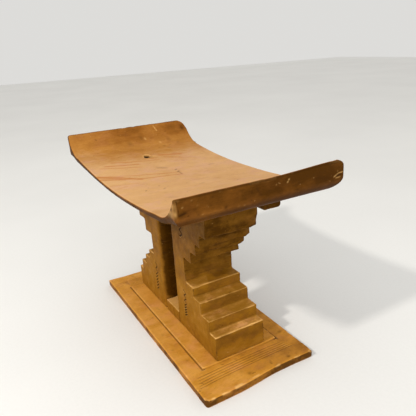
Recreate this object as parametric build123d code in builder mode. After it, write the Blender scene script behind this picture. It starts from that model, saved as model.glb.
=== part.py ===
"""Carved wooden headrest: a hollowed seat on two stepped pillars over a flat base slab.

Units are millimetres. +X runs along the seat towards its near end, +Y across it and +Z up.
The origin is the centre of the base slab's underside.
"""
from build123d import *
from math import sqrt
import os

os.makedirs("parts", exist_ok=True)

# Driving dimensions of the whole object.
overall_height = 171.2
seat_length = 258.0
seat_width = 133.2
base_length = 236.0
base_width = 103.0
base_thickness = 7.0
panel_length = 168.0
panel_width = 73.0
panel_relief = 1.0
pillar_width = 47.2
pillar_offset = 0.6

# Seat: a shallow dished board whose two ends turn up into thick lips.
dish_middle_top = 144.5
dish_half_length = 102.0
dish_end_top = 151.2
lip_inner_x = 124.5
lip_inner_top = 169.5
lip_crest_x = 126.6
lip_outer_top = 169.4
lip_outer_setback = 0.6
lip_outer_bottom = 158.0
lip_under_x = 127.0
lip_under_z = 153.2
board_under_x = 117.0
board_under_z = 148.4
board_middle_under = 140.8
seat_corner_radius = 4.0

# Belly: the thicker middle of the seat, thinning towards the two long edges.
belly_middle_under = 137.6
belly_half_width_low = 27.0
belly_half_width_high = 57.0
belly_high_z = 150.0
belly_overlap = 1.0

# Stepped sides of the pillars, as (distance from the middle, height) of each outer step edge.
waist_x = 36.0
lower_steps = [(49.0, 62.0), (61.0, 52.5), (74.0, 41.5), (83.5, 31.0)]
near_upper_steps = [(50.5, 85.0), (61.5, 95.5), (70.5, 105.5), (80.5, 116.0)]
far_upper_steps = [(50.5, 83.0), (63.0, 94.0)]
near_inner_top_x = 16.5
near_inner_foot_x = 12.0
far_inner_top_x = 8.0
far_inner_foot_x = 16.0
near_inner_radius = 1.5
far_inner_radius = 7.0
head_blank_top = 143.5

# Sill between the feet of the two pillars.
sill_height = 12.0

# Joints: stub tenons on the pillars and tongues on the sill, in blind mortises.
tenon_width = 24.0
head_tenon_ends = (21.0, 50.0)
head_tenon_top = 142.0
foot_tenon_ends = (30.0, 70.0)
foot_tenon_depth = 4.5
tongue_length = 4.0
tongue_width = 20.0
tongue_height = 6.0
side_clearance = 0.15
end_clearance = 0.3
joint_overrun = 1.0

# Lug under the seat, beside the near pillar, on a round peg.
lug_length = 18.0
lug_width = 18.0
lug_under = 127.0
lug_blank_top = 145.2
lug_pillar_gap = 4.5
lug_corner_radius = 3.0
peg_radius = 3.0
peg_depth_in_lug = 8.0
peg_depth_in_seat = 3.0
peg_clearance = 0.05

# Engraved lines across both ends of the base slab.
line_count = 5
first_line_x = 91.2
line_spacing = 2.3
line_width = 0.7
line_depth = 0.4
line_length = 84.0

# Bevel under the rim of the base slab.
base_edge_chamfer = 1.6

# Heights, faces and curves that follow from the driving dimensions.
seat_end = seat_length / 2
seat_side = seat_width / 2
pillar_side = pillar_width / 2
panel_top = base_thickness + panel_relief
sill_top = panel_top + sill_height
tongue_middle_z = panel_top + sill_height / 2
head_tenon_run = head_tenon_top - belly_middle_under + joint_overrun
lug_outer_x = near_upper_steps[-1][0]
lug_middle_x = lug_outer_x - lug_length / 2
lug_middle_y = pillar_offset + pillar_side + lug_pillar_gap + lug_width / 2
belly_rise = board_under_z - belly_middle_under
belly_radius = (board_under_x**2 + belly_rise**2) / (2 * belly_rise)


def belly_under(x):
    """Height of the belly's curved underside at distance x from the middle."""
    return belly_middle_under + belly_radius - sqrt(belly_radius**2 - x**2)


def middle(ends):
    """Point halfway between two ends."""
    return sum(ends) / 2


def span(ends, clearance=0.0):
    """Length between two ends, with the same clearance added at each."""
    return ends[1] - ends[0] + 2 * clearance


peg_top = belly_under(lug_middle_x) + peg_depth_in_seat
peg_bottom = belly_under(lug_middle_x) - peg_depth_in_lug


# ---- belly of the seat, joined to its board below -------------------------------------------
with BuildPart() as belly:
    with BuildSketch(Plane.XZ):
        with BuildLine():
            ThreePointArc(
                (-board_under_x, board_under_z),
                (0, belly_middle_under),
                (board_under_x, board_under_z),
            )
            ThreePointArc(
                (board_under_x, board_under_z),
                (0, board_middle_under + belly_overlap),
                (-board_under_x, board_under_z),
            )
        make_face()
    extrude(amount=seat_side, both=True)
    # Bevelled flanks: the belly dies away towards the long edges.
    with BuildSketch(Plane.YZ):
        with BuildLine():
            Polyline(
                (-belly_half_width_low, belly_middle_under),
                (belly_half_width_low, belly_middle_under),
                (belly_half_width_high, belly_high_z),
                (-belly_half_width_high, belly_high_z),
                close=True,
            )
        make_face()
    extrude(amount=seat_end, both=True, mode=Mode.INTERSECT)

# ---- seat -----------------------------------------------------------------------------------
with BuildPart() as seat_blank:
    # Lengthwise outline of the board and its lips: the near end is drawn, then mirrored.
    with BuildSketch(Plane.XZ):
        with BuildLine():
            dish = ThreePointArc(
                (-dish_half_length, dish_end_top),
                (0, dish_middle_top),
                (dish_half_length, dish_end_top),
            )
            lip_rise = TangentArc(dish @ 1, (lip_inner_x, lip_inner_top), tangent=dish % 1)
            lip_crest = ThreePointArc(
                lip_rise @ 1,
                (lip_crest_x, overall_height),
                (seat_end - lip_outer_setback, lip_outer_top),
            )
            lip_face = Line(lip_crest @ 1, (seat_end, lip_outer_bottom))
            lip_round = ThreePointArc(
                lip_face @ 1,
                (lip_under_x, lip_under_z),
                (board_under_x, board_under_z),
            )
            for stretch in (lip_rise, lip_crest, lip_face, lip_round):
                mirror(stretch, about=Plane.YZ)
            ThreePointArc(
                (board_under_x, board_under_z),
                (0, board_middle_under),
                (-board_under_x, board_under_z),
            )
        make_face()
    extrude(amount=seat_side, both=True)
    add(belly.part)
    # Rounded corners in plan.
    with BuildSketch(Plane.XY):
        RectangleRounded(seat_length, seat_width, seat_corner_radius)
    extrude(amount=overall_height, mode=Mode.INTERSECT)

with BuildPart() as seat:
    add(seat_blank.part)
    # Mortises for the head tenons, and a blind hole for the lug's peg.
    with BuildSketch(Plane.XY.offset(head_tenon_top + end_clearance)):
        for side in (1, -1):
            with Locations((side * middle(head_tenon_ends), 0)):
                Rectangle(span(head_tenon_ends, side_clearance), tenon_width + 2 * side_clearance)
    extrude(amount=-head_tenon_run, mode=Mode.SUBTRACT)
    with BuildSketch(Plane.XY.offset(peg_top + end_clearance)):
        with Locations((lug_middle_x, lug_middle_y)):
            Circle(peg_radius)
    extrude(amount=-peg_depth_in_seat - peg_depth_in_lug, mode=Mode.SUBTRACT)
seat.part.label = "seat"
export_step(seat.part, "parts/seat.step")


# ---- pillars --------------------------------------------------------------------------------
def stepped_outline(side, upper_steps, inner_top_x, inner_foot_x):
    """Corner points of one pillar's side view, from its inner foot outwards and up."""
    points = [(inner_foot_x, panel_top), (lower_steps[-1][0], panel_top)]
    riser_x = [waist_x] + [edge_x for edge_x, tread_z in lower_steps[:-1]]
    for (edge_x, tread_z), next_x in zip(reversed(lower_steps), reversed(riser_x)):
        points += [(edge_x, tread_z), (next_x, tread_z)]
    previous_x = waist_x
    for edge_x, under_z in upper_steps:
        points += [(previous_x, under_z), (edge_x, under_z)]
        previous_x = edge_x
    points += [(previous_x, head_blank_top), (inner_top_x, head_blank_top)]
    points += [(inner_foot_x, sill_top)]
    return [(side * x, z) for x, z in points]


def build_pillar(side, upper_steps, inner_top_x, inner_foot_x, inner_radius):
    """A stepped pillar with a head tenon, a foot tenon and a socket for the sill's tongue."""
    with BuildPart() as pillar:
        with BuildSketch(Plane.XZ.offset(-pillar_offset)):
            with BuildLine():
                Polyline(*stepped_outline(side, upper_steps, inner_top_x, inner_foot_x), close=True)
            make_face()
        extrude(amount=pillar_side, both=True)
        # Round the two upright edges that face the gap, above the sill.
        upright_edges = [
            edge
            for edge in pillar.edges()
            if abs(edge.center().X) < waist_x / 2
            and edge.bounding_box().size.Z > pillar_width
        ]
        fillet(upright_edges, radius=inner_radius)
        # Fit the head to the seat's underside.
        add(seat_blank.part, mode=Mode.SUBTRACT)
        # Head tenon.
        with BuildSketch(Plane.XY.offset(head_tenon_top)):
            with Locations((side * middle(head_tenon_ends), 0)):
                Rectangle(span(head_tenon_ends), tenon_width)
        extrude(amount=-head_tenon_run)
        # Foot tenon.
        with BuildSketch(Plane.XY.offset(panel_top - foot_tenon_depth)):
            with Locations((side * middle(foot_tenon_ends), 0)):
                Rectangle(span(foot_tenon_ends), tenon_width)
        extrude(amount=foot_tenon_depth)
        # Socket for the sill's tongue.
        with BuildSketch(Plane.YZ.offset(side * inner_foot_x)):
            with Locations((0, tongue_middle_z)):
                Rectangle(tongue_width + 2 * side_clearance, tongue_height + 2 * side_clearance)
        extrude(amount=side * (tongue_length + end_clearance), mode=Mode.SUBTRACT)
    return pillar.part


near_pillar = build_pillar(
    1, near_upper_steps, near_inner_top_x, near_inner_foot_x, near_inner_radius
)
near_pillar.label = "near_pillar"
export_step(near_pillar, "parts/near_pillar.step")

far_pillar = build_pillar(
    -1, far_upper_steps, far_inner_top_x, far_inner_foot_x, far_inner_radius
)
far_pillar.label = "far_pillar"
export_step(far_pillar, "parts/far_pillar.step")

# ---- sill -----------------------------------------------------------------------------------
with BuildPart() as sill:
    sill_middle_x = (near_inner_foot_x - far_inner_foot_x) / 2
    sill_length = near_inner_foot_x + far_inner_foot_x
    with BuildSketch(Plane.XY.offset(panel_top)):
        with Locations((sill_middle_x, pillar_offset)):
            Rectangle(sill_length, pillar_width)
    extrude(amount=sill_height)
    # Tongues at both ends, made as one bar through the block.
    with BuildSketch(Plane.XY.offset(tongue_middle_z)):
        with Locations((sill_middle_x, 0)):
            Rectangle(sill_length + 2 * tongue_length, tongue_width)
    extrude(amount=tongue_height / 2, both=True)
sill.part.label = "sill"
export_step(sill.part, "parts/sill.step")

# ---- base slab ------------------------------------------------------------------------------
with BuildPart() as base:
    with BuildSketch(Plane.XY):
        Rectangle(base_length, base_width)
    extrude(amount=base_thickness)
    chamfer(base.edges().group_by(Axis.Z)[0], length=base_edge_chamfer)
    # Raised panel around the feet of the pillars.
    with BuildSketch(Plane.XY.offset(base_thickness)):
        Rectangle(panel_length, panel_width)
    extrude(amount=panel_relief)
    # Mortises for the foot tenons.
    with BuildSketch(Plane.XY.offset(panel_top)):
        for side in (1, -1):
            with Locations((side * middle(foot_tenon_ends), 0)):
                Rectangle(span(foot_tenon_ends, side_clearance), tenon_width + 2 * side_clearance)
    extrude(amount=-foot_tenon_depth - end_clearance, mode=Mode.SUBTRACT)
    # Engraved lines across both ends.
    with BuildSketch(Plane.XY.offset(base_thickness)):
        for side in (1, -1):
            for number in range(line_count):
                with Locations((side * (first_line_x + number * line_spacing), 0)):
                    Rectangle(line_width, line_length)
    extrude(amount=-line_depth, mode=Mode.SUBTRACT)
base.part.label = "base"
export_step(base.part, "parts/base.step")

# ---- lug and its peg ------------------------------------------------------------------------
with BuildPart() as lug:
    with BuildSketch(Plane.XY.offset(lug_under)):
        with Locations((lug_middle_x, lug_middle_y)):
            Rectangle(lug_length, lug_width)
    extrude(amount=lug_blank_top - lug_under)
    fillet(lug.edges().filter_by(Axis.X).group_by(Axis.Z)[0], radius=lug_corner_radius)
    add(seat_blank.part, mode=Mode.SUBTRACT)
    with BuildSketch(Plane.XY.offset(lug_blank_top)):
        with Locations((lug_middle_x, lug_middle_y)):
            Circle(peg_radius)
    extrude(amount=peg_bottom - end_clearance - lug_blank_top, mode=Mode.SUBTRACT)
lug.part.label = "lug"
export_step(lug.part, "parts/lug.step")

with BuildPart() as lug_peg:
    with BuildSketch(Plane.XY.offset(peg_bottom)):
        with Locations((lug_middle_x, lug_middle_y)):
            Circle(peg_radius - peg_clearance)
    extrude(amount=peg_top - peg_bottom)
lug_peg.part.label = "lug_peg"
export_step(lug_peg.part, "parts/lug_peg.step")
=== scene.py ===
"""Looks of a carved wooden headrest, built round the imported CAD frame.

+X runs to the near end, +Y across to the side with the lug and +Z up. Meshes are worked out in
millimetres in that frame and stored in metres. One block of wood, with its grain along Y.
"""

import math
from itertools import product

import bmesh
import bpy
import numpy as np
from mathutils import Matrix, Vector


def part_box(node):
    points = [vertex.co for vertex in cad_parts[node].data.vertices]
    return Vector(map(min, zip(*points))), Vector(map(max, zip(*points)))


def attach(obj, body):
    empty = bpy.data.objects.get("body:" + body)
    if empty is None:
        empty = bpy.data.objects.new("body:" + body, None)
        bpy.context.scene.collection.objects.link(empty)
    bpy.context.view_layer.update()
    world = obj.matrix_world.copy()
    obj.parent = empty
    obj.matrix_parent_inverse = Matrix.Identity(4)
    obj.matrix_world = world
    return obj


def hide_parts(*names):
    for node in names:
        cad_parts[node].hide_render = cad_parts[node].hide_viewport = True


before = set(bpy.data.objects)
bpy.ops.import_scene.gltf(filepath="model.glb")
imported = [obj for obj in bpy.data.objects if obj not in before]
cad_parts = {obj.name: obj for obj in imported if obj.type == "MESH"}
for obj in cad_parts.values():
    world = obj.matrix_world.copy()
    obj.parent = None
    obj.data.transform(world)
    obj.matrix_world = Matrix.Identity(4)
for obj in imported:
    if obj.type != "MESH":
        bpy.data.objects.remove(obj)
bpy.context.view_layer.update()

MM = 0.001


def box_mm(node):
    """Lowest and highest corner of a CAD node, in millimetres."""
    low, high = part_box(node)
    return np.array(low) / MM, np.array(high) / MM


# ---- small tools for points in space --------------------------------------------------------
def ramp(value, start, end):
    """0 before start, 1 after end, and a smooth rise between them."""
    t = np.clip((value - start) / (end - start), 0, 1)
    return t * t * (3 - 2 * t)


def bell(distance, width):
    """1 at distance 0, falling smoothly to nothing at about twice the width."""
    return np.exp(-((distance / width) ** 2))


def lattice_value(cell, seed):
    """Repeatable value from 0 to 1 for each whole-number point of a lattice."""
    x, y, z = (cell[:, axis].astype(np.int64) for axis in range(3))
    mixed = (x * 374761393 + y * 668265263 + z * 1440662683 + seed * 1274126177) & 0xFFFFFFFF
    mixed = ((mixed ^ (mixed >> 13)) * 1274126177) & 0xFFFFFFFF
    return ((mixed ^ (mixed >> 16)) & 0xFFFF) / 0xFFFF


def noise(points, size, seed):
    """Smooth noise from -1 to 1, with lumps of that size, which may differ along X, Y and Z."""
    scaled = points / np.array(size, float)
    cell = np.floor(scaled)
    t = scaled - cell
    t = t * t * (3 - 2 * t)
    total = np.zeros(len(points))
    for corner in product((0, 1), repeat=3):
        weight = np.prod(np.where(corner, t, 1 - t), axis=1)
        total += weight * lattice_value(cell + corner, seed)
    return 2 * total - 1


def segment_distance(x, y, start, end):
    """Distance from points (x, y) to a straight stretch, and how far along it they are, 0 to 1."""
    step_x, step_y = end[0] - start[0], end[1] - start[1]
    along = ((x - start[0]) * step_x + (y - start[1]) * step_y) / (step_x**2 + step_y**2)
    along = np.clip(along, 0, 1)
    return np.hypot(x - start[0] - along * step_x, y - start[1] - along * step_y), along


def marks(x, y, strokes):
    """Strength of drawn strokes at points (x, y), each stroke (start, end, width, strength)."""
    total = np.zeros(len(x))
    for start, end, width, strength in strokes:
        off, _ = segment_distance(x, y, start, end)
        total = np.maximum(total, strength * bell(off, width))
    return total


def spot(x, y, radius, strength):
    """A stroke that is a round spot."""
    return (x, y), (x + 0.01, y), radius, strength


def arc(start, end, radius, count=32):
    """Points along an arc from start to end, with its centre on the left if radius is positive."""
    start, end = np.array(start, float), np.array(end, float)
    half = (end - start) / 2
    reach = np.hypot(*half)
    left = np.array([-half[1], half[0]]) / reach
    centre = start + half + left * math.copysign(math.sqrt(radius**2 - reach**2), radius)
    turn = 2 * math.asin(reach / abs(radius)) * math.copysign(1, radius)
    first = math.atan2(start[1] - centre[1], start[0] - centre[0])
    angles = first + np.linspace(0, turn, count)
    return centre + abs(radius) * np.stack([np.cos(angles), np.sin(angles)], 1)


def path_lengths(path):
    """Distance walked at each point of a path."""
    return np.concatenate([[0], np.cumsum(np.hypot(*np.diff(path, axis=0).T))])


def walk(path, distances):
    """The two coordinates of the points at these distances along a path."""
    walked = path_lengths(path)
    return [np.interp(distances, walked, path[:, axis]) for axis in (0, 1)]


# ---- meshes ---------------------------------------------------------------------------------
def graded(low, high, coarse, fine, zones):
    """Grid positions from low to high, with fine steps inside the zones and coarse ones outside."""
    stops = sorted({low, high, *(stop for zone in zones for stop in zone)})
    runs = []
    for start, end in zip(stops, stops[1:]):
        middle = (start + end) / 2
        step = fine if any(a <= middle <= b for a, b in zones) else coarse
        cells = max(1, round((end - start) / step))
        runs.append(np.linspace(start, end, cells + 1)[:-1])
    return np.append(np.concatenate(runs), high)


def box_skin(us, vs, ws):
    """Grid numbers and quads of a box's skin, cut at the given positions along its three sides."""
    shape = (len(us), len(vs), len(ws))
    skin = np.zeros(shape, bool)
    skin[[0, -1]] = True
    skin[:, [0, -1]] = True
    skin[:, :, [0, -1]] = True
    number = np.full(shape, -1)
    number[skin] = np.arange(skin.sum())
    quads = []
    for axis, end in product(range(3), (0, -1)):
        sheet = np.take(number, end, axis=axis)
        quad = np.stack([sheet[:-1, :-1], sheet[1:, :-1], sheet[1:, 1:], sheet[:-1, 1:]], -1)
        quad = quad.reshape(-1, 4)
        outward = (end == -1) != (axis == 1)
        quads.append(quad if outward else quad[:, ::-1])
    i, j, k = np.nonzero(skin)
    return us[i], vs[j], ws[k], np.concatenate(quads)


def get_points(mesh):
    points = np.zeros(len(mesh.vertices) * 3)
    mesh.vertices.foreach_get("co", points)
    return points.reshape(-1, 3) / MM


def set_points(mesh, points):
    mesh.vertices.foreach_set("co", (points * MM).astype(np.float32).ravel())
    mesh.update()


def get_normals(mesh):
    normals = np.zeros(len(mesh.vertices) * 3)
    mesh.vertex_normals.foreach_get("vector", normals)
    return normals.reshape(-1, 3)


def around(mesh, values, rounds):
    """Values averaged with their neighbours' along the mesh, that many times."""
    ends = np.zeros(len(mesh.edges) * 2, int)
    mesh.edges.foreach_get("vertices", ends)
    a, b = ends.reshape(-1, 2).T
    count = len(mesh.vertices)
    degree = np.bincount(a, minlength=count) + np.bincount(b, minlength=count)
    for _ in range(rounds):
        total = np.bincount(a, values[b], count) + np.bincount(b, values[a], count)
        values = (values + total / degree) / 2
    return values


def bending(mesh):
    """Mean curvature at each point, in 1/mm: positive on edges, negative in inner corners."""
    rounds = 3
    points, normals = get_points(mesh), get_normals(mesh)
    smooth = np.stack([around(mesh, points[:, axis], rounds) for axis in range(3)], 1)
    spacing = np.einsum("ij,ij->i", points, points)
    spread = np.stack([around(mesh, points[:, axis] ** 2, 1) for axis in range(3)], 1).sum(1)
    middle = np.stack([around(mesh, points[:, axis], 1) for axis in range(3)], 1)
    squared_step = 2 * (spread + spacing - 2 * np.einsum("ij,ij->i", points, middle))
    bend = np.einsum("ij,ij->i", points - smooth, normals)
    return 4 * bend / (rounds * np.maximum(squared_step, 1e-6))


def set_value(mesh, name, values):
    """Stores one number from 0 to 1 for each point, for the material to read."""
    layer = mesh.attributes.new(name, "FLOAT", "POINT")
    layer.data.foreach_set("value", np.clip(values, 0, 1).astype(np.float32))


def keep_in_box(points, node):
    low, high = box_mm(node)
    return np.clip(points, low, high)


def carve(mesh, depth, node):
    """Cuts the surface inwards by depth, in millimetres, and keeps it in the CAD node's box."""
    points = get_points(mesh) - get_normals(mesh) * depth[:, None]
    set_points(mesh, keep_in_box(points, node))


def new_piece(name, mesh, node, material):
    piece = bpy.data.objects.new(name, mesh)
    bpy.context.scene.collection.objects.link(piece)
    mesh.materials.clear()
    mesh.materials.append(material)
    mesh.shade_smooth()
    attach(piece, "root")
    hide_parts(node)
    return piece


def skin_mesh(name, x, y, z, quads):
    mesh = bpy.data.meshes.new(name)
    points = np.stack([x, y, z], 1) * MM
    mesh.from_pydata(points.tolist(), [], quads.tolist())
    mesh.update()
    return mesh


def remeshed(name, node, voxel, smoothing):
    """An even, softened copy of a CAD node's mesh, fine enough to carve."""
    source = bpy.data.objects.new(name + "_source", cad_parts[node].data.copy())
    bpy.context.scene.collection.objects.link(source)
    remesh = source.modifiers.new("remesh", "REMESH")
    remesh.mode = "VOXEL"
    remesh.voxel_size = voxel * MM
    soften = source.modifiers.new("soften", "SMOOTH")
    soften.factor = 0.5
    soften.iterations = smoothing
    shown = source.evaluated_get(bpy.context.evaluated_depsgraph_get())
    mesh = bpy.data.meshes.new_from_object(shown)
    mesh.name = name
    bpy.data.objects.remove(source)
    return mesh


# ---- shared features of the carving ---------------------------------------------------------
def hand_cut(points, seed):
    """Depth of the gentle unevenness that hand tools leave on every face."""
    broad = noise(points, (22, 30, 22), seed)
    short = noise(points, (7, 11, 7), seed + 1)
    fine = noise(points, (2.2, 4.5, 2.2), seed + 2)
    return 0.22 + 0.14 * broad + 0.08 * short + 0.035 * fine


def nicks(points, edge, seed):
    """Depth of small chips and dents along the edges, where edge is near 1."""
    dents = np.clip(noise(points, (4, 5, 4), seed) - 0.25, 0, 1)
    chips = np.clip(noise(points, (1.6, 2.4, 1.6), seed + 1) - 0.45, 0, 1)
    return edge * (0.7 * dents + 0.6 * chips)


def finish_surface(mesh, node, seed, tone, marks_and_shade=0.0, hole=0.0, scuffs=0.0, worn=1.0):
    """Wears the edges, then stores what the material reads: tone, wear, the darkening of dirt and painted
    shade, and hole.
    """
    points = get_points(mesh)
    edge = ramp(bending(mesh), 0.08, 0.35)
    carve(mesh, hand_cut(points, seed) + nicks(points, edge, seed + 10), node)
    bend, normals = bending(mesh), get_normals(mesh)
    convex = around(mesh, ramp(bend, 0.10, 0.36), 1)
    # Painted shade: inner creases are darkened where shade falls in the corners.
    hollow = around(mesh, ramp(-bend, 0.12, 0.40), 1)
    broken = 0.85 + 0.7 * noise(points, (3, 7, 3), seed + 20)
    facing_up = ramp(normals[:, 2], 0.08, 0.4)
    upright = convex * ramp(np.abs(normals[:, 0] * normals[:, 1]), 0.2, 0.4) * (1 - facing_up)
    nothing = np.zeros(len(points))
    set_value(mesh, "wear", worn * convex * broken * (0.12 + 0.88 * facing_up) + scuffs)
    set_value(mesh, "grime_and_shade", nothing + 0.5 * hollow + 1.8 * upright * broken + marks_and_shade)
    set_value(mesh, "hole", nothing + hole)
    set_value(mesh, "tone", tone)


# ---- seat -----------------------------------------------------------------------------------
DISH_MIDDLE = (0, 144.5)
DISH_END = (102, 151.2)
DISH_RADIUS = 779.8
LIP_INNER = (124.5, 169.5)
LIP_INNER_RADIUS = 28.5
LIP_CREST = (126.6, 171.2)
LIP_OUTER_TOP = (128.4, 169.4)
LIP_OUTER_BOTTOM = (129, 158)
LIP_UNDER = (127, 153.2)
BOARD_UNDER_MIDDLE = (0, 140.8)
BOARD_UNDER_END = (117, 148.4)
BOARD_UNDER_RADIUS = 904.4
LIP_UNDER_RADIUS = 11.5
CREST_RADIUS = 2.2
BELLY_UNDER = 137.6
BELLY_RADIUS = 639.1
BELLY_FLANK = (27, 57, 12.4)
HEAD_MORTISE = (20.85, 50.15, 12.15, 142.3)
ARRIS_RADIUS = 1.3
KNOT = ((-79.2, -1.6), (-74.2, -3.4), 2.2)
KNOT_TAIL = ((-75.5, -1.0), (-73.8, 5.5), 1.5)
# The lips' worn corners: (side along X, side along Y, upper, lower and plan radius).
LIP_CORNERS = ((1, 1, 6, 13, 1.5), (1, -1, 1.5, 8, 4), (-1, 1, 11, 6, 4), (-1, -1, 4, 4, 4))
LIP_CORNER_CHIP = (-121.5, 60.5, 163.5)
KNOT_DEPTH = 2.6
CORNER_CHIP_DEPTH = 1.8
CORNER_CHIP_RADIUS = 2.6
DISH_LEAN = 1.3
FAR_DISH_LEAN = 0.6
CREST_FALL = 1.9
SIDE_NARROWING = 1.6


def seat_paths():
    """Lengthwise outlines of one half: top, underside beyond the dish, and the lip's outer face."""
    top = np.concatenate([
        arc(DISH_MIDDLE, DISH_END, DISH_RADIUS, 80),
        arc(DISH_END, LIP_INNER, LIP_INNER_RADIUS)[1:],
        arc(LIP_INNER, LIP_CREST, -CREST_RADIUS)[1:],
    ])
    under = np.concatenate([
        arc(BOARD_UNDER_MIDDLE, BOARD_UNDER_END, BOARD_UNDER_RADIUS, 80),
        arc(BOARD_UNDER_END, LIP_UNDER, LIP_UNDER_RADIUS)[1:],
    ])
    face = np.concatenate([
        arc(LIP_UNDER, LIP_OUTER_BOTTOM, LIP_UNDER_RADIUS),
        np.array([LIP_OUTER_TOP]),
        arc(LIP_OUTER_TOP, LIP_CREST, CREST_RADIUS)[1:],
    ])
    return top, under, face


def seat_underside(x, z, y):
    """Height of the underside, where the belly makes the board thicker than z says."""
    inside = np.abs(x) < BOARD_UNDER_END[0]
    bent = np.minimum(np.abs(x), BOARD_UNDER_END[0])
    board = BOARD_UNDER_MIDDLE[1] + BOARD_UNDER_RADIUS - np.sqrt(BOARD_UNDER_RADIUS**2 - bent**2)
    belly = BELLY_UNDER + BELLY_RADIUS - np.sqrt(BELLY_RADIUS**2 - bent**2)
    drop = np.where(inside, np.maximum(board - belly, 0), 0)
    low, high, rise = BELLY_FLANK
    flank = BELLY_UNDER + np.clip(np.abs(y) - low, 0, None) * rise / (high - low)
    return np.maximum(z - drop, np.minimum(z, flank))


def round_corner(a, b, limit_a, limit_b, radius):
    """Pulls points beyond a quarter circle, in the corner at the two limits, back onto it."""
    over_a = np.maximum(a - (limit_a - radius), 0)
    over_b = np.maximum(b - (limit_b - radius), 0)
    reach = np.hypot(over_a, over_b)
    scale = np.where(reach > radius, radius / np.maximum(reach, 1e-9), 1)
    keep_a = np.where(over_a * over_b > 0, a - over_a * (1 - scale), a)
    keep_b = np.where(over_a * over_b > 0, b - over_b * (1 - scale), b)
    return keep_a, keep_b


def seat_mesh():
    half_length, half_width, crest = box_mm("seat")[1]
    top, under, face = seat_paths()
    length = path_lengths(top)[-1]
    dish_length = path_lengths(arc(DISH_MIDDLE, DISH_END, DISH_RADIUS, 80))[-1]
    start, end, mortise_half, mortise_top = HEAD_MORTISE
    us = graded(-length, length, 1.5, 0.7, [
        (-length, -length + 7), (length - 7, length),
        (KNOT[0][0] - 4, KNOT[1][0] + 4), (-32, -4), (-72, -62),
        (start - 0.05, start), (end, end + 0.05), (-start, 0.05 - start), (-end - 0.05, -end),
    ])
    vs = graded(-half_width, half_width, 1.1, 0.56, [
        (-half_width, 4 - half_width), (half_width - 13, half_width), (-12, 8),
        (mortise_half, mortise_half + 0.05), (-mortise_half - 0.05, -mortise_half),
    ])
    ws = graded(0, 1, 0.032, 0.032, [])
    u, v, w, quads = box_skin(us, vs, ws)
    side, s = np.sign(u), np.abs(u)

    # Top and underside at each place along the seat.
    top_x, top_z = walk(top, s)
    walked = path_lengths(under)
    tail_start = np.interp(DISH_END[0], under[:, 0], walked)
    tail = np.clip((s - dish_length) / (length - dish_length), 0, 1)
    in_dish = s <= dish_length
    under_s = np.where(in_dish, np.interp(top_x, under[:, 0], walked),
                       tail_start + tail * (walked[-1] - tail_start))
    under_x, under_z = walk(under, under_s)
    under_z = seat_underside(under_x, under_z, v)
    in_mortise = (under_x >= start) & (under_x <= end) & (np.abs(v) <= mortise_half)
    under_z = np.where(in_mortise & (w == 0), mortise_top, under_z)

    # The skin between them, bulging to the lip's outer face at the ends.
    x, z = under_x + (top_x - under_x) * w, under_z + (top_z - under_z) * w
    face_x, face_z = walk(face, w * path_lengths(face)[-1])
    straight_x = LIP_UNDER[0] + (LIP_CREST[0] - LIP_UNDER[0]) * w
    straight_z = LIP_UNDER[1] + (LIP_CREST[1] - LIP_UNDER[1]) * w
    bulge = ramp(s, length - 14, length) ** 2
    x, z = x + (face_x - straight_x) * bulge, z + (face_z - straight_z) * bulge

    # Rounded long edges.
    thickness = top_z - under_z
    radius = np.minimum(ARRIS_RADIUS, 0.35 * thickness)
    depth = np.minimum(w, 1 - w) * thickness
    missing = np.clip(radius - depth, 0, None)
    inset = radius - np.sqrt(np.maximum(radius**2 - missing**2, 0))
    y = v - np.sign(v) * inset * ramp(np.abs(v), half_width - 6, half_width)
    x = side * x

    # The dish is a little higher on the -Y side, and the lips' corners are worn round.
    lean = DISH_LEAN + FAR_DISH_LEAN * ramp(-x, -20, 60)
    z = z - lean * (y / half_width) * (1 - ramp(np.abs(x), 92, 120))
    # The near lip's crest sinks from its +Y end to the middle, and stays low up to the -Y side.
    fall = CREST_FALL * ramp(half_width - y, 0, half_width) * ramp(x, 100, 124)
    z = z - fall * np.clip((z - LIP_OUTER_BOTTOM[1]) / (crest - LIP_OUTER_BOTTOM[1]), 0, 1)
    lip = np.abs(x) > 100
    for x_side, y_side, upper, lower, plan in LIP_CORNERS:
        here = lip & (np.sign(x) == x_side) & (np.sign(y) == y_side)
        along, across = round_corner(np.abs(x), np.abs(y), half_length, half_width, plan)
        x, y = np.where(here, x_side * along, x), np.where(here, y_side * across, y)
        growing = ramp(np.abs(x), 100, 122)
        across, height = round_corner(np.abs(y), z, half_width, crest, upper * growing)
        bottom = BOARD_UNDER_END[1] + 0.8
        across, fallen = round_corner(across, -height, half_width, -bottom, lower * growing)
        y = np.where(here, y_side * across, y)
        z = np.where(here, -fallen, z)
    # The -Y side and the dish are a little narrower than the near lip's +Y end.
    narrowed = SIDE_NARROWING - SIDE_NARROWING * (y > 0) * ramp(x, 96, 120)
    y = y * (1 - narrowed / half_width)
    return skin_mesh("seat_carved", x, y, z, quads)


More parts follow.
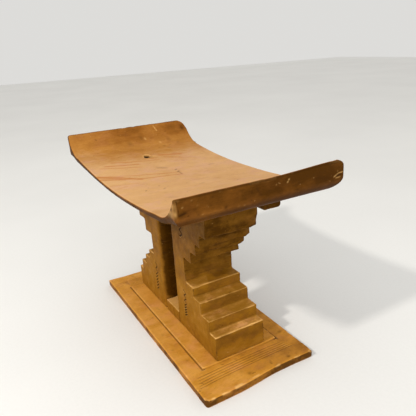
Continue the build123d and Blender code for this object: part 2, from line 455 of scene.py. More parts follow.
# Single marks, as strokes (start, end, width, strength) in millimetres. Those on the dish and the
# slab are placed by (x, y), and those on the near lip's outer face by (y, z).
RING_LINES = (
    ((-5.5, 2.5), (-8.2, -13), 0.7, 0.75), ((-8.2, -13), (-10.9, -26), 0.8, 0.75),
    ((-10.9, -26), (-17.8, -46), 1.0, 0.8), ((-17.8, -46), (-28, -64), 1.5, 0.9),
    ((-12.7, 4.5), (-16.4, -9.5), 0.7, 0.7), ((-16.4, -9.5), (-20.5, -22), 0.8, 0.8),
    ((-20.5, -22), (-26.3, -38.5), 1.1, 0.6), ((-26.3, -38.5), (-34, -55), 1.3, 0.4),
    ((-10.8, -33.4), (-24, -47), 1.7, 0.8), ((-24, -47), (-36, -64), 2.6, 0.85),
    ((-57, -19), (-59, -32), 1.1, 0.85), ((-59, -32), (-64, -48), 1.4, 0.7),
    ((-61.5, 5), (-66, -22), 1.0, 0.5), ((-66, -22), (-72, -40), 1.2, 0.6),
    ((-47, -20), (-53, -38), 1.1, 0.6), ((-53, -38), (-60, -54), 1.4, 0.5),
    ((-76, 11), (-70, 31), 2.2, 0.7), ((-70, -9), (-68, 4), 0.9, 0.6),
    ((-69, 14), (-60, 26), 2.4, 0.3), ((-1, -40), (-6, -62), 1.2, 0.3),
    ((3, -51), (6, -60), 0.9, 0.45), ((16, 8), (13, -22), 0.8, 0.2), ((40, 30), (36, -14), 0.9, 0.2),
)
DISH_DIRT = (
    ((-21.6, 3.2), (-23.6, 5.2), 0.8, 0.75), ((-14.3, 2.2), (-17, 4.6), 0.8, 0.8),
    ((-9.6, 2.6), (-13.5, 3.2), 0.6, 0.5), ((-5, 1.8), (-9.4, 2.9), 0.6, 0.45),
    ((-36.6, -6.5), (-33, -2), 2.6, 0.28), ((-21.4, 39), (-20, 42.4), 0.7, 0.5),
    spot(-101.7, 28, 1.2, 0.6), spot(-95.6, 30.5, 1.4, 0.45), spot(-113.5, -5.5, 2.6, 0.35),
    spot(-112, 38, 2.2, 0.3), spot(-118, 9, 2.4, 0.35), spot(-106, 46, 1.6, 0.3),
    spot(-20, -32, 0.8, 0.35), spot(4, -20, 0.7, 0.3), spot(30, 20, 0.8, 0.3),
    ((60, -34), (57, -38), 1.6, 0.2), ((36, -2), (33, 4), 0.7, 0.3), ((70, 22), (66, 12), 0.7, 0.25),
)
DISH_SCRATCHES = (
    ((-124.1, 27), (-121.6, 29.6), 0.35, 0.8), spot(-116.7, 13, 1.0, 0.6), spot(-109.9, 27, 1.1, 0.7),
    spot(-30, 0.5, 0.9, 0.35), ((2.4, -51.5), (4.1, -48.7), 0.5, 0.4),
)
LIP_SCRATCHES = (
    ((16.2, 163.7), (18.2, 166.4), 0.3, 0.6), spot(-59.9, 163.8, 0.4, 0.4), spot(-53.8, 166.7, 0.3, 0.3),
    spot(-43.6, 161.4, 0.3, 0.3), spot(7.3, 164.1, 0.35, 0.35), ((64.7, 162.3), (60.8, 161.8), 0.35, 0.6),
    ((60.8, 161.8), (56.8, 159.9), 0.35, 0.6), ((62.4, 159.2), (58.5, 158.8), 0.35, 0.45),
    spot(60.2, 163.6, 0.35, 0.4), spot(21.2, 170.6, 1.0, 0.4), spot(-22, 156, 0.4, 0.35),
    spot(-17, 155.4, 0.4, 0.35), spot(-12.5, 155.2, 0.35, 0.3), spot(-47, 156.6, 0.35, 0.3),
    spot(-34, 168.2, 0.4, 0.25), spot(-50, 163, 0.4, 0.25),
)
LIP_DIRT = (
    ((-62.4, 159.3), (-58.4, 160.2), 0.7, 1.0), spot(-57, 158, 0.6, 0.7), spot(-31, 157.4, 1.2, 0.8),
    spot(-12, 163.2, 1.0, 0.5), spot(-52, 161, 0.8, 0.5), ((-8, 165), (-5, 160), 0.9, 0.4),
    spot(-50, 157, 0.9, 0.6), spot(-40, 166, 0.8, 0.4), ((40, 162), (52, 160), 2.0, 0.3),
    ((59.6, 160.5), (62.4, 160.8), 0.7, 0.9), spot(33, 158, 1.5, 0.3),
)


def seat_marks(points, on_top):
    """The knot hole, its paler rim, and the ring lines that show on the dish."""
    x, y = points[:, 0], points[:, 1]
    from_body = segment_distance(x, y, *KNOT[:2])[0] - KNOT[2]
    from_tail, along = segment_distance(x, y, *KNOT_TAIL[:2])
    off = np.minimum(from_body, from_tail - KNOT_TAIL[2] * (1.1 - along))
    hole = on_top * (1 - ramp(off, -0.5, 0.5))
    rim = on_top * bell(off - 1.1, 0.9) * ramp(-x, 74, 80)
    waver = 0.5 * noise(points, (5, 9, 5), 71)
    return hole, rim, on_top * marks(x + waver, y, RING_LINES)


def seat_tone(points, normals, on_top):
    """How dark the wood is: pale in the dish and darkest on the lips' outer faces; the sides and the
    underside are painted browner, as painted shade.
    """
    x, y, z = points.T
    outer = ramp(np.abs(x), 121, 125.5) * ramp(np.sign(x) * normals[:, 0], -0.25, 0.4)
    # Painted shade: faces towards -Y and +Y, and faces turned down, are painted darker.
    shaded_side = ramp(np.abs(normals[:, 1]), 0.4, 0.9) * (1 - outer)
    below = ramp(-normals[:, 2], 0.1, 0.6) * (1 - outer)
    dish = 0.13 - 0.10 * ramp(-y, 15, 60) + 0.30 * ramp(-x, 48, 104) + 0.16 * ramp(-x, 106, 123)
    dish = dish + 0.10 * ramp(x, 98, 118) + 0.14 * bell(x - 92, 11) * ramp(-y, 48, 62)
    tone = on_top * dish + (1 - on_top) * 0.3
    tone = tone + shaded_side * 0.66 + below * 0.6
    on_lip = 0.93 + 0.06 * ramp(y, -30, 5) - 0.03 * ramp(y, 20, 50)
    on_lip = on_lip - 0.14 * (1 - ramp(z, 154, 162)) * (1 - 0.6 * ramp(y, 0, 40))
    tone = tone * (1 - outer) + on_lip * outer
    lip_end = ramp(np.abs(x), 110, 117) * ramp(np.abs(normals[:, 1]), 0.6, 0.95)
    patches = 0.035 * noise(points, (15, 25, 15), 31) + 0.03 * noise(points, (5, 9, 5), 32)
    return tone * (1 + 0.05 * lip_end) + patches * (1 + 1.2 * ramp(tone, 0.3, 0.7))


def seat_dirt(points, normals, on_top):
    """Dark marks and pale scuffs of the seat, with painted shade under the lips' edges and along the -Y
    side: (dark marks and painted shade, scuffs).
    """
    x, y, z = points.T
    near_face = ramp(x, 121, 126) * ramp(normals[:, 0], 0.2, 0.6)
    # Painted shadow: the downward faces under the lips' ends are darkened.
    shaded_under_edge = ramp(np.abs(x), 119, 124) * ramp(-normals[:, 2], 0.22, 0.6)
    outer_arris = ramp(x, 124, 126) * bell(normals[:, 2] - 0.6, 0.35) * ramp(normals[:, 0], -0.2, 0.3)
    far_crest = ramp(-x, 124.6, 125.8) * ramp(normals[:, 2], -0.2, 0.2)
    grime_and_shade = on_top * marks(x, y, DISH_DIRT) + near_face * marks(y, z, LIP_DIRT)
    # Painted shade on the seat's -Y side face.
    shaded_side = ramp(-normals[:, 1], 0.5, 0.9) * (1 - ramp(x, 108, 114))
    grime_and_shade = grime_and_shade + 0.75 * shaded_under_edge + 0.6 * outer_arris + 0.5 * far_crest + 0.25 * shaded_side
    lip_end = ramp(x, 111, 117) * ramp(-normals[:, 1], 0.5, 0.9) * ramp(z, 155.8, 157.8)
    scuffs = on_top * marks(x, y, DISH_SCRATCHES) + near_face * marks(y, z, LIP_SCRATCHES)
    scuffs = scuffs + lip_end * (0.30 + 0.30 * noise(points, (2.5, 2.5, 2.5), 33))
    return grime_and_shade, scuffs


# ---- base slab ------------------------------------------------------------------------------
PANEL_HALF = (83.6, 36.5)
PANEL_RELIEF = 1.0
FOOT_MORTISE = (29.85, 70.15, 12.15, 3.2)
UNDER_BEVEL = 0.5
RIM_RADIUS = 1.1
LINE_OFFSETS = (0, 2.7, 5.4, 8.0, 10.3)
FIRST_LINE = 89.5
LINE_HALF_WIDTH = 0.42
LINE_DEPTH = 0.3
LINE_BOW = 0.0006
LINE_SQUEEZE = 0.0022
END_WEAR_START = 104
SLAB_LAYERS = (0, 0.5, 1.0, 1.6, 2.6, 3.6, 4.6, 5.5, 6.0, 6.4, 6.7, 6.9, 7.0)
# The slab's worn corners: (side along X, side along Y, radius).
SLAB_CORNERS = ((1, 1, 2.5), (1, -1, 4.5), (-1, 1, 6), (-1, -1, 3))
SLAB_STAINS = (
    spot(110.2, 30.2, 1.5, 0.75), ((106.4, 14.2), (109.6, 13.4), 0.7, 0.7), spot(109.4, -7.7, 1.7, 0.55),
    spot(88.1, -7.6, 1.1, 0.5), spot(86.6, -0.3, 0.8, 0.45), spot(87.4, 31, 0.8, 0.45),
    ((82.6, 37.4), (85.6, 37), 0.9, 0.9), spot(104, -12, 2.4, 0.18), spot(20, -44, 1.6, 0.3),
    spot(46, -46, 1.0, 0.45), spot(-12, -41, 1.2, 0.35), spot(66, -42, 0.9, 0.4), spot(-52, 44, 1.8, 0.4),
    spot(-100, 12, 1.6, 0.5), spot(-108, -26, 1.3, 0.5), spot(30, 44, 1.4, 0.4), spot(78, 45, 1.2, 0.4),
    ((58, 31), (62, 30), 0.6, 0.3), ((-20, -30), (-26, -31), 0.7, 0.25),
)
RIM_CHIPS = (
    ((117, -46), (117, -31), 0.9, 1.1), ((116.6, -25), (116, -16), 1.1, 1.3),
    ((115.6, -12), (115, -3), 0.8, 0.8), ((114.4, 15), (114.2, 24), 1.0, 0.9),
    ((114.4, 30), (114.6, 35), 0.8, 0.7), ((-30, -50.2), (14, -50.4), 0.6, 0.4),
    ((-117, 20), (-116.4, -14), 0.7, 0.5),
)


def engraved(u, across):
    """How deep the five lines across each end are cut, from 0 to 1."""
    cut = np.zeros(len(u))
    for number, offset in enumerate(LINE_OFFSETS):
        width = np.clip(1 - np.abs(np.abs(u) - FIRST_LINE - offset) / LINE_HALF_WIDTH, 0, 1)
        last = 31 + 2.5 * number
        ends = ramp(across, -46 - number, -44 - number) * (1 - ramp(across, last, last + 7))
        cut = np.maximum(cut, width * ends)
    return cut


def slab_end(across):
    """Where the slab's end face lies along X: it is worn hollow towards one corner."""
    return 117.6 - 2.9 * ramp(across, -22, 18) + 0.6 * ramp(across, 30, 47)


def base_mesh():
    half_length, half_width, panel_top = box_mm("base")[1]
    slab_top = panel_top - PANEL_RELIEF
    panel_x, panel_y = PANEL_HALF
    start, end, mortise_half, mortise_bottom = FOOT_MORTISE
    zones_x = [(panel_x - 1.6, panel_x + 1.6), (half_length - 4, half_length)]
    for offset in LINE_OFFSETS:
        line_x = FIRST_LINE + offset
        zones_x += [(line_x - 0.45, line_x), (line_x, line_x + 0.45)]
    zones_x += [(start, start + 0.05), (end - 0.05, end)]
    zones_x += [(-b, -a) for a, b in zones_x]
    zones_y = [(panel_y - 1.6, panel_y + 1.6), (half_width - 2.4, half_width)]
    zones_y += [(mortise_half - 0.05, mortise_half)]
    zones_y += [(-b, -a) for a, b in zones_y]
    us = graded(-half_length, half_length, 1.2, 0.3, zones_x)
    vs = graded(-half_width, half_width, 1.2, 0.4, zones_y)
    ws = np.array(SLAB_LAYERS) * slab_top / SLAB_LAYERS[-1]
    u, v, w, quads = box_skin(us, vs, ws)

    # The lines bow and draw together towards one side.
    across = np.sign(u) * v
    on_lines = ramp(np.abs(u), 85.5, 89) * (1 - ramp(np.abs(u), 101, 105))
    bow = LINE_BOW * across**2
    squeeze = (np.abs(u) - FIRST_LINE) * LINE_SQUEEZE * across
    along = np.abs(u) + on_lines * (bow - squeeze)

    # A worn end face, a bevel under the rim and a round edge over it.
    end_x = slab_end(across)
    pulled = (along - END_WEAR_START) / (half_length - END_WEAR_START) * (end_x - half_length)
    along = along + ramp(along, END_WEAR_START, half_length) * pulled
    inset = np.clip(UNDER_BEVEL - w, 0, None)
    missing = np.clip(w - (slab_top - RIM_RADIUS), 0, RIM_RADIUS)
    inset = inset + RIM_RADIUS - np.sqrt(RIM_RADIUS**2 - missing**2)
    x = np.sign(u) * (along - inset * ramp(np.abs(u), half_length - 6, half_length))
    y = v - np.sign(v) * inset * ramp(np.abs(v), half_width - 6, half_width)
    for x_side, y_side, radius in SLAB_CORNERS:
        here = (np.sign(x) == x_side) & (np.sign(y) == y_side)
        rounded = round_corner(np.abs(x), np.abs(y), half_length, half_width, radius)
        x = np.where(here, x_side * rounded[0], x)
        y = np.where(here, y_side * rounded[1], y)

    # Raised panel with a scribed line at its foot, engraved lines, and mortises for the feet.
    on_top, on_bottom = w == ws[-1], w == 0
    wander = 0.25 * noise(np.stack([x, y, w], 1), (14, 14, 14), 41)
    outside = np.maximum(np.abs(x) - panel_x, np.abs(y) - panel_y) + wander
    relief = PANEL_RELIEF * (1 - ramp(outside, -0.35, 0.25))
    on_long_side = ramp(np.abs(y) - panel_y, -4, -1)
    scribed = (0.2 + 0.3 * on_long_side) * bell(outside - 0.5, 0.34)
    cut = engraved(u, across)
    in_mortise = (np.abs(x) >= start) & (np.abs(x) <= end) & (np.abs(y) <= mortise_half)
    z = np.where(on_top, w + relief - scribed - LINE_DEPTH * cut, w)
    z = np.where(on_top & in_mortise, mortise_bottom, z)
    # The line at the panel's foot is painted dark, partly as dirt in the scribed line and partly as
    # painted shadow at the raised panel's foot; the engraved lines are darkened with dirt.
    marks_and_shade = np.where(on_top, (0.25 + 0.5 * on_long_side) * bell(outside - 0.45, 0.38) + 0.6 * cut, 0)
    return skin_mesh("base_carved", x, y, z, quads), marks_and_shade, on_bottom


def base_tone(points, normals):
    """Golden near the -Y side and browner towards +Y and on the rim; the underside is painted browner, as
    painted shade.
    """
    x, y, z = points.T
    # Painted shade: downward faces are painted darker.
    below = ramp(-normals[:, 2], 0.2, 0.7)
    rim = ramp(1 - np.abs(normals[:, 2]), 0.45, 0.9)
    near_end = ramp(x, 60, 100)
    shade = 0.22 + (0.14 + 0.26 * near_end) * ramp(y, -14, 30) - 0.14 * ramp(-y, 30, 50) * (1 - near_end)
    on_panel = ramp(z, 7.3, 7.8) * -0.12
    patches = 0.15 * noise(points, (20, 24, 20), 51) + 0.14 * noise(points, (6, 8, 6), 52)
    return shade + on_panel + patches * (1 + 0.6 * rim) + 0.74 * rim + 0.3 * below


def base_dirt(points, normals):
    """Dark marks and pale chips of the slab: (grime, scuffs)."""
    x, y, z = points.T
    upward = ramp(normals[:, 2], 0.2, 0.6)
    grime_and_shade = upward * marks(x, y, SLAB_STAINS)
    broken = ramp(noise(points, (2.5, 3.5, 2.5), 55), -0.35, 0.25)
    scuffs = ramp(z, 5, 6.2) * marks(x, y, RIM_CHIPS) * broken
    return grime_and_shade, scuffs


# ---- pillars, sill and lug ------------------------------------------------------------------
# Columns of notches: (top (x, z), foot (x, z), how many cuts, how many of them join in a zigzag).
NEAR_COLUMNS = (((34.4, 115.1), (35.7, 104), 4, 3), ((31, 50.7), (29.5, 24.1), 10, 6))
FAR_COLUMNS = (((-32.6, 52.8), (-35.2, 22.3), 9, 3),)
ZIGZAG_REACH = 1.9
SLANT_REACH = 2.1
ZIGZAG_WIDTH = 0.5
NOTCH_DEPTH = 0.5
NOTCH_MARGIN = 3.6
WORM_HOLE = (-12.3, 68.2)
WORM_HOLE_DEPTH = 2.5
PILLAR_VOXEL = 0.69


def notches(points, normals, columns):
    """The columns of small slanting cuts on the faces across the grain: (depth, darkening round the
    cuts).
    """
    x, _, z = points.T
    on_face = ramp(np.abs(normals[:, 1]), 0.7, 0.9)
    closeness = np.full(len(points), -9.0)
    for (top_x, top_z), (low_x, low_z), count, joined in columns:
        for number in range(count):
            share = (number + 0.5) / count
            centre_x = top_x + (low_x - top_x) * share
            centre_z = top_z + (low_z - top_z) * share
            half_rise = (top_z - low_z) / count / 2
            zigzag = number < joined
            lean = 1 if zigzag and number % 2 == 0 else -1
            reach = ZIGZAG_REACH if zigzag else SLANT_REACH
            start = (centre_x - reach * lean, centre_z + half_rise)
            end = (centre_x + reach * lean, centre_z - half_rise)
            off, along = segment_distance(x, z, start, end)
            width = ZIGZAG_WIDTH if zigzag else 0.4 + 0.2 * along
            closeness = np.maximum(closeness, 1 - off / width)
    return on_face * ramp(closeness, -0.25, 0.6), on_face * ramp(closeness, -0.4, 0.2)


def refine(mesh, columns):
    """Cuts the faces round the columns of small cuts finer, so that the cuts come out sharp."""
    work = bmesh.new()
    work.from_mesh(mesh)
    edges = set()
    for top, low, _, _ in columns:
        left, right = min(top[0], low[0]) - NOTCH_MARGIN, max(top[0], low[0]) + NOTCH_MARGIN
        lowest, highest = low[1] - NOTCH_MARGIN, top[1] + NOTCH_MARGIN
        for vert in work.verts:
            x, _, z = vert.co / MM
            if left < x < right and lowest < z < highest and abs(vert.normal.y) > 0.7:
                edges.update(vert.link_edges)
    work.edges.index_update()
    chosen = sorted(edges, key=lambda edge: edge.index)
    bmesh.ops.subdivide_edges(work, edges=chosen, cuts=2, use_grid_fill=True)
    work.to_mesh(mesh)
    work.free()


def tool_strokes(points, normals, seed):
    """Depth of the level strokes that the adze left on the outer faces above the treads."""
    strokes = np.clip(noise(points, (9, 24, 1.5), seed) - 0.22, 0, 1)
    coarse = np.clip(noise(points, (12, 16, 4), seed + 1) - 0.1, 0, 1)
    where = ramp(np.abs(normals[:, 0]), 0.5, 0.8) * ramp(points[:, 2], 62, 68)
    where = where * (1 - 0.7 * ramp(points[:, 2], 114, 119))
    return where * (0.8 * strokes + 0.5 * coarse)


def waver_steps(mesh, node, seed):
    """Bends the overhanging steps out of true, as a hand-held tool leaves them."""
    points = get_points(mesh)
    x, y, z = points.T
    on_steps = ramp(z, 76, 84) * (1 - ramp(z, 119, 127)) * ramp(np.abs(x), 37, 44)
    inwards = 0.5 + 0.5 * noise(points, (60, 9, 11), seed + 1)
    points[:, 2] += on_steps * 1.3 * noise(points, (60, 9, 14), seed)
    points[:, 0] -= np.sign(x) * on_steps * (1.3 * inwards + 1.6 * ramp(y, 17, 25) * ramp(z, 84, 92))
    set_points(mesh, keep_in_box(points, node))


TONE_PATCH_START = (35.5, -2.9)
TONE_PATCH_SLANT = 0.36


def pillar_tone(points, normals, shift=0.0):
    """Browner than the dish, darker higher up and more golden towards the feet; the faces under the seat
    and those facing the gap between the pillars are painted darker, as painted shade.
    """
    x, y, z = points.T
    across = ramp(np.abs(normals[:, 1]), 0.4, 0.8)
    upward = ramp(normals[:, 2], 0.4, 0.8) * (1 - across)
    outward = np.clip(1 - across - upward, 0, 1)
    on_side = 0.42 + 0.14 * ramp(z, 52, 66) + (0.22 - 0.14 * (x < 0)) * ramp(z, 70, 105)
    on_tread = 0.10 + 0.13 * ramp(z, 31, 41) + 0.07 * ramp(z, 56, 60)
    on_front = 0.36 + 0.24 * ramp(z, 13, 24) - 0.12 * bell(z - 36, 5)
    # Painted shade: the outer faces under the seat, the waist and the top block, are painted darker.
    on_front = on_front + 0.22 * ramp(z, 60, 74) + 0.08 * ramp(z, 98, 124)
    tone = across * on_side + upward * (on_tread + shift) + outward * (on_front + max(shift, 0))
    patches = 0.09 * noise(points, (12, 16, 16), 61) + 0.10 * noise(points, (4, 6, 5), 62)
    # A darker patch on the top two treads, beyond a slanting line across each.
    into_patch = y - TONE_PATCH_START[1] + TONE_PATCH_SLANT * (x - TONE_PATCH_START[0])
    darkening = 0.20 * ramp(into_patch, 0, 0.8) * (1 - ramp(y, 9, 20)) * ramp(z, 60, 61)
    darkening = darkening + 0.14 * ramp(y - 12, 0, 2) * ramp(z, 50, 51.5) * (1 - ramp(z, 56, 58))
    # Painted shade: faces looking into the gap between the pillars darken deeper in.
    shaded_gap_face = ramp(-np.sign(x) * normals[:, 0], 0.2, 0.9) * (np.abs(x) < 25)
    gap_shade_depth = 0.45 + 0.55 * ramp(y, -24, -4)
    return tone + patches + upward * darkening * (x > 0) + 1.0 * shaded_gap_face * gap_shade_depth * ramp(z, 8, 30)


def build_seat(material):
    mesh = seat_mesh()
    points, normals = get_points(mesh), get_normals(mesh)
    on_top = ramp(normals[:, 2], 0.1, 0.3) * (points[:, 2] > 140)
    hole, rim, streak = seat_marks(points, on_top)
    corner = np.linalg.norm(points - LIP_CORNER_CHIP, axis=1)
    carve(mesh, KNOT_DEPTH * hole + CORNER_CHIP_DEPTH * bell(corner, CORNER_CHIP_RADIUS), "seat")
    grime_and_shade, scuffs = seat_dirt(points, normals, on_top)
    tone = seat_tone(points, normals, on_top) + 0.15 * bell(corner, 4)
    worn = 1 - 0.88 * ramp(np.abs(points[:, 0]), 112, 119)
    finish_surface(mesh, "seat", 100, tone, grime_and_shade, hole, scuffs + 0.25 * rim, worn=worn)
    set_value(mesh, "streak", streak)
    return new_piece("seat_carved", mesh, "seat", material)


def build_base(material):
    mesh, marks_and_shade, on_bottom = base_mesh()
    points, normals = get_points(mesh), get_normals(mesh)
    grime_and_shade, scuffs = base_dirt(points, normals)
    end_way = np.abs(points[:, 0])
    worn = 1 - 0.85 * ramp(end_way, 86, 88) * (1 - ramp(end_way, 102, 104)) * (points[:, 2] > 5)
    tone = base_tone(points, normals)
    finish_surface(mesh, "base", 200, tone, marks_and_shade + grime_and_shade, scuffs=scuffs, worn=worn)
    points = get_points(mesh)
    points[:, 2] = np.where(on_bottom & (points[:, 2] < 0.6), 0, points[:, 2])
    set_points(mesh, points)
    return new_piece("base_carved", mesh, "base", material)


def build_pillar(name, node, columns, worm_hole, smoothing, seed, material):
    mesh = remeshed(name, node, PILLAR_VOXEL, smoothing)
    waver_steps(mesh, node, seed + 50)
    refine(mesh, columns)
    points, normals = get_points(mesh), get_normals(mesh)
    cut, darkening = notches(points, normals, columns)
    strokes = tool_strokes(points, normals, seed + 60)
    hole = np.zeros(len(points))
    if worm_hole:
        off = np.hypot(points[:, 0] - worm_hole[0], points[:, 2] - worm_hole[1])
        hole = (1 - ramp(off, 0.5, 1.3)) * (points[:, 1] < 0) * ramp(-normals[:, 1], 0.2, 0.6)
    carve(mesh, NOTCH_DEPTH * cut + WORM_HOLE_DEPTH * hole + strokes, node)
    tone = pillar_tone(points, normals)
    on_steps = ramp(np.abs(normals[:, 0]), 0.3, 0.6) * ramp(points[:, 2], 64, 72)
    worn = 1 - 0.85 * np.maximum(on_steps, darkening)
    finish_surface(mesh, node, seed, tone, 1.4 * darkening + 0.6 * strokes, hole, worn=worn)
    return new_piece(name, mesh, node, material)


def build_block(name, node, voxel, smoothing, seed, shift, material):
    mesh = remeshed(name, node, voxel, smoothing)
    points, normals = get_points(mesh), get_normals(mesh)
    finish_surface(mesh, node, seed, pillar_tone(points, normals, shift))
    return new_piece(name, mesh, node, material)


# ---- materials ------------------------------------------------------------------------------
class Shader:
    """Short ways to add and join the nodes of one material."""

    def __init__(self, name):
        self.material = bpy.data.materials.new(name)
        self.material.use_nodes = True
        self.tree = self.material.node_tree
        self.tree.nodes.clear()

    def node(self, kind, inputs, output=0, **settings):
        made = self.tree.nodes.new(kind)
        for name, value in settings.items():
            setattr(made, name, value)
        for key, value in inputs.items():
            if isinstance(value, bpy.types.NodeSocket):
                self.tree.links.new(value, made.inputs[key])
            else:
                made.inputs[key].default_value = value
        return made.outputs[output] if made.outputs else made

    def place(self, scale, shift=(0, 0, 0)):
        """The point's own place in the object, scaled along each axis."""
        here = self.node("ShaderNodeTexCoord", {}, "Object")
        return self.node("ShaderNodeMapping", {0: here, "Location": shift, "Scale": scale})

    def noise(self, scale, detail=3.0, rough=0.5, shift=(0, 0, 0), distort=0.0):
        where = {"Vector": self.place(scale, shift), "Scale": 1.0, "Detail": detail}
        return self.node("ShaderNodeTexNoise", {**where, "Roughness": rough, "Distortion": distort})

    def math(self, operation, a, b=0.0, clamp=False):
        return self.node("ShaderNodeMath", {0: a, 1: b}, operation=operation, use_clamp=clamp)

    def mix(self, share, a, b, blend="MIX"):
        inputs = {0: share, 6: a, 7: b}
        return self.node("ShaderNodeMix", inputs, 2, data_type="RGBA", blend_type=blend)

    def stretch(self, value, low, high, to_low=0.0, to_high=1.0):
        inputs = {0: value, 1: low, 2: high, 3: to_low, 4: to_high}
        return self.node("ShaderNodeMapRange", inputs, interpolation_type="SMOOTHSTEP")

    def value(self, name):
        return self.node("ShaderNodeAttribute", {}, "Fac", attribute_name=name)

    def ramp(self, value, stops):
        made = self.tree.nodes.new("ShaderNodeValToRGB")
        self.tree.links.new(value, made.inputs[0])
        ramp_stops = made.color_ramp.elements
        while len(ramp_stops) < len(stops):
            ramp_stops.new(0.5)
        for stop, (position, colour) in zip(ramp_stops, stops):
            stop.position = position
            stop.color = colour
        return made.outputs[0]


def colour(red, green, blue):
    """A colour given as it looks on screen, from 0 to 255, turned into linear light."""
    parts = [part / 255 for part in (red, green, blue)]
    return tuple(p / 12.92 if p <= 0.04045 else ((p + 0.055) / 1.055) ** 2.4 for p in parts) + (1,)


PITH = (-0.030, 0.030)
RING_SPACING = 0.0052


def growth_rings(shader):
    """0 to 1 across each growth ring, about a pith that runs along Y below the middle."""
    here = shader.place((1, 0, 1), (-PITH[0], 0, -PITH[1]))
    from_pith = shader.node("ShaderNodeVectorMath", {0: here}, "Value", operation="LENGTH")
    sway = shader.math("MULTIPLY", shader.noise((9, 4, 9), 1.0), 0.055)
    ripple = shader.math("MULTIPLY", shader.noise((60, 14, 60), 2.0), 0.004)
    distance = shader.math("ADD", from_pith, shader.math("ADD", sway, ripple))
    return shader.math("FRACT", shader.math("DIVIDE", distance, RING_SPACING))


def wood(name, tones, mottle, ring_strength, roughness, grain, blush):
    """Waxed and worn wood: tones are the colours from the palest place to the darkest."""
    s = Shader(name)
    rings = growth_rings(s)
    late_wood = s.math("MULTIPLY", s.stretch(rings, 0.35, 0.93), s.stretch(rings, 1.0, 0.94))
    fibres = s.noise((1500, 60, 1500), 4.0, 0.6)
    strands = s.noise((330, 18, 330), 3.0, 0.55)
    speckle = s.noise((640, 420, 640), 3.0, 0.65, shift=(0.1, 0.6, 0.4))
    clouds = s.noise((52, 34, 52), 5.0, 0.62, distort=0.4)
    blots = s.noise((210, 130, 210), 4.0, 0.6, shift=(0.5, 0.2, 0.1), distort=0.6)
    pores = s.stretch(s.noise((2300, 190, 2300), 1.0), 0.66, 0.74)

    # How dark each point is, from its own tone and the wood's figure.
    shade = s.value("tone")
    figure = ((clouds, mottle), (blots, 0.8 * mottle), (strands, 0.06), (fibres, 0.11),
              (speckle, grain))
    for texture, strength in figure:
        shade = s.math("ADD", shade, s.math("MULTIPLY", s.math("SUBTRACT", texture, 0.5), strength))
    shade = s.math("ADD", shade, s.math("MULTIPLY", late_wood, ring_strength), clamp=True)
    base = s.ramp(shade, tones)
    rosy = s.stretch(s.noise((75, 60, 75), 3.0, 0.6, shift=(0.9, 0.2, 0.5), distort=0.5), 0.45, 0.70)
    base = s.mix(s.math("MULTIPLY", rosy, blush), base, s.mix(1.0, base, (1.0, 0.94, 1.7, 1), "MULTIPLY"))
    base = s.mix(s.math("MULTIPLY", s.value("streak"), 0.95), base, colour(178, 102, 34))

    # Small dark and pale specks, worn bright edges, dirt and painted shade in the hollows, and holes.
    specks = s.stretch(s.noise((300, 220, 300), 2.0, shift=(0.3, 0.1, 0.7)), 0.69, 0.77)
    flecks = s.stretch(s.noise((420, 300, 420), 1.0, shift=(0.8, 0.4, 0.2)), 0.74, 0.80)
    base = s.mix(s.math("MULTIPLY", specks, 0.45), base, colour(70, 38, 10))
    base = s.mix(s.math("MULTIPLY", flecks, 0.22), base, colour(206, 158, 96))
    base = s.mix(s.math("MULTIPLY", pores, 0.28), base, colour(60, 34, 10))
    base = s.mix(s.math("MULTIPLY", s.value("wear"), 0.85), base, colour(232, 180, 108))
    # Dirt, and painted shade under the seat, in creases and in the gap, darken the colour here.
    base = s.mix(s.math("MULTIPLY", s.value("grime_and_shade"), 0.8), base, colour(44, 22, 4))
    base = s.mix(s.value("hole"), base, colour(10, 6, 3))

    rough = s.math("ADD", roughness, s.math("MULTIPLY", s.math("SUBTRACT", clouds, 0.5), 0.35))
    rough = s.math("SUBTRACT", rough, s.math("MULTIPLY", s.value("wear"), 0.12))
    height = s.math("ADD", s.math("MULTIPLY", fibres, 0.6), s.math("MULTIPLY", strands, 0.6))
    height = s.math("ADD", height, s.math("MULTIPLY", blots, 0.5))
    height = s.math("SUBTRACT", height, s.math("MULTIPLY", pores, 0.5))
    height = s.math("SUBTRACT", height, s.math("MULTIPLY", specks, 0.5))
    bump = s.node("ShaderNodeBump", {"Strength": 0.45, "Distance": 0.00022, "Height": height})
    surface = {"Base Color": base, "Roughness": rough, "Normal": bump}
    surface |= {"Specular IOR Level": 0.05, "Specular Tint": (1.0, 0.75, 0.42, 1)}
    shown = s.node("ShaderNodeBsdfPrincipled", surface)
    s.node("ShaderNodeOutputMaterial", {"Surface": shown})
    return s.material


def seat_wood():
    tones = [
        (0.0, colour(212, 164, 108)), (0.15, colour(202, 154, 100)), (0.42, colour(176, 120, 54)),
        (0.62, colour(146, 92, 34)), (0.82, colour(106, 63, 17)), (1.0, colour(72, 41, 4)),
    ]
    return wood(
        "seat_wood", tones, mottle=0.24, ring_strength=0.015, roughness=0.5, grain=0.10, blush=0.35,
    )


def pillar_wood():
    tones = [
        (0.0, colour(214, 158, 84)), (0.12, colour(184, 132, 60)), (0.25, colour(158, 110, 38)),
        (0.45, colour(144, 97, 22)), (0.65, colour(122, 80, 22)), (0.8, colour(107, 69, 14)),
        (1.0, colour(72, 42, 2)),
    ]
    return wood(
        "pillar_wood", tones, mottle=0.40, ring_strength=0.02, roughness=0.55, grain=0.26, blush=0.5,
    )


def base_wood():
    tones = [
        (0.0, colour(216, 154, 68)), (0.3, colour(196, 134, 46)), (0.55, colour(172, 116, 42)),
        (0.8, colour(142, 92, 30)), (1.0, colour(88, 54, 14)),
    ]
    return wood(
        "base_wood", tones, mottle=0.50, ring_strength=0.02, roughness=0.52, grain=0.30, blush=0.6,
    )


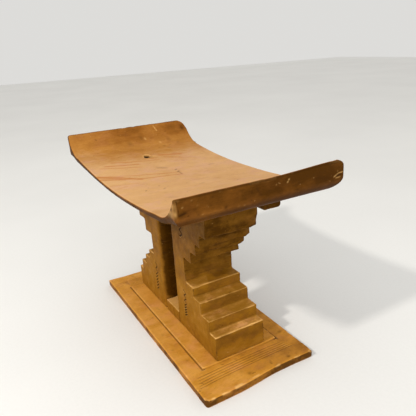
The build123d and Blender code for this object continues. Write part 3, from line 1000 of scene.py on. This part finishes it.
def peg_wood():
    tones = [(0.0, colour(150, 100, 50)), (0.5, colour(122, 80, 38)), (1.0, colour(90, 56, 24))]
    return wood(
        "peg_wood", tones, mottle=0.2, ring_strength=0.1, roughness=0.6, grain=0.1, blush=0.2,
    )


def plain_floor():
    s = Shader("floor_grey")
    clouds = s.noise((3, 3, 3), 3.0)
    grains = s.noise((400, 400, 400), 2.0)
    mottle = s.math("ADD", s.math("MULTIPLY", clouds, 0.7), s.math("MULTIPLY", grains, 0.3))
    tint = s.ramp(mottle, [(0.35, colour(234, 233, 230)), (0.65, colour(240, 239, 236))])
    shown = s.node("ShaderNodeBsdfPrincipled", {"Base Color": tint, "Roughness": 0.85})
    s.node("ShaderNodeOutputMaterial", {"Surface": shown})
    return s.material


# ---- stage ----------------------------------------------------------------------------------
def build_floor():
    half = 4.0
    mesh = bpy.data.meshes.new("floor")
    corners = [(-half, -half, 0), (half, -half, 0), (half, half, 0), (-half, half, 0)]
    mesh.from_pydata(corners, [], [(0, 1, 2, 3)])
    mesh.materials.append(plain_floor())
    floor = bpy.data.objects.new("floor", mesh)
    bpy.context.scene.collection.objects.link(floor)


def add_light(name, place, target, size, power, tint):
    data = bpy.data.lights.new(name, "AREA")
    data.shape = "DISK"
    data.size = size
    data.energy = power
    data.color = tint
    light = bpy.data.objects.new(name, data)
    light.location = place
    aim = Vector(target) - Vector(place)
    light.rotation_euler = aim.to_track_quat("-Z", "Y").to_euler()
    bpy.context.scene.collection.objects.link(light)


def build_lights():
    middle = (0, 0, 0.09)
    add_light("key", (0.28, -1.1, 1.1), middle, 0.10, 10, (1.0, 0.96, 0.90))
    add_light("fill", (1.3, -0.3, 0.7), middle, 1.2, 8, (0.96, 0.98, 1.0))
    world = bpy.data.worlds.new("studio")
    world.use_nodes = True
    sky = world.node_tree.nodes["Background"]
    sky.inputs["Color"].default_value = colour(244, 243, 240)
    sky.inputs["Strength"].default_value = 0.8
    bpy.context.scene.world = world


CAMERA_PLACE = (0.3599, -0.1621, 0.2517)
CAMERA_HEADING = 59.19
CAMERA_TILT = 22.82
CAMERA_ROLL = -3.00
CAMERA_LENS = 39.84
CAMERA_SHIFT = (-0.0702, 0.0610)


def build_camera():
    data = bpy.data.cameras.new("camera")
    data.lens = CAMERA_LENS
    data.sensor_width = 36.0
    data.shift_x, data.shift_y = CAMERA_SHIFT
    data.clip_start = 0.01
    camera = bpy.data.objects.new("camera", data)
    turn = Matrix.Rotation(math.radians(CAMERA_HEADING), 4, "Z")
    tilt = Matrix.Rotation(math.radians(90 - CAMERA_TILT), 4, "X")
    roll = Matrix.Rotation(math.radians(CAMERA_ROLL), 4, "Z")
    camera.matrix_world = Matrix.Translation(CAMERA_PLACE) @ turn @ tilt @ roll
    bpy.context.scene.collection.objects.link(camera)
    bpy.context.scene.camera = camera


# ---- the whole scene ------------------------------------------------------------------------
pillar_finish = pillar_wood()
build_seat(seat_wood())
build_base(base_wood())
build_pillar(
    "near_pillar_carved", "near_pillar", columns=NEAR_COLUMNS, worm_hole=None,
    smoothing=1, seed=300, material=pillar_finish,
)
build_pillar(
    "far_pillar_carved", "far_pillar", columns=FAR_COLUMNS, worm_hole=WORM_HOLE,
    smoothing=4, seed=400, material=pillar_finish,
)
build_block(
    "sill_carved", "sill", voxel=0.6, smoothing=1, seed=500, shift=-0.55, material=pillar_finish,
)
build_block(
    "lug_carved", "lug", voxel=0.45, smoothing=3, seed=600, shift=0.3, material=pillar_finish,
)
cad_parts["lug_peg"].data.materials.clear()
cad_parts["lug_peg"].data.materials.append(peg_wood())
build_floor()
build_lights()
build_camera()
bpy.context.scene.view_settings.view_transform = "Standard"
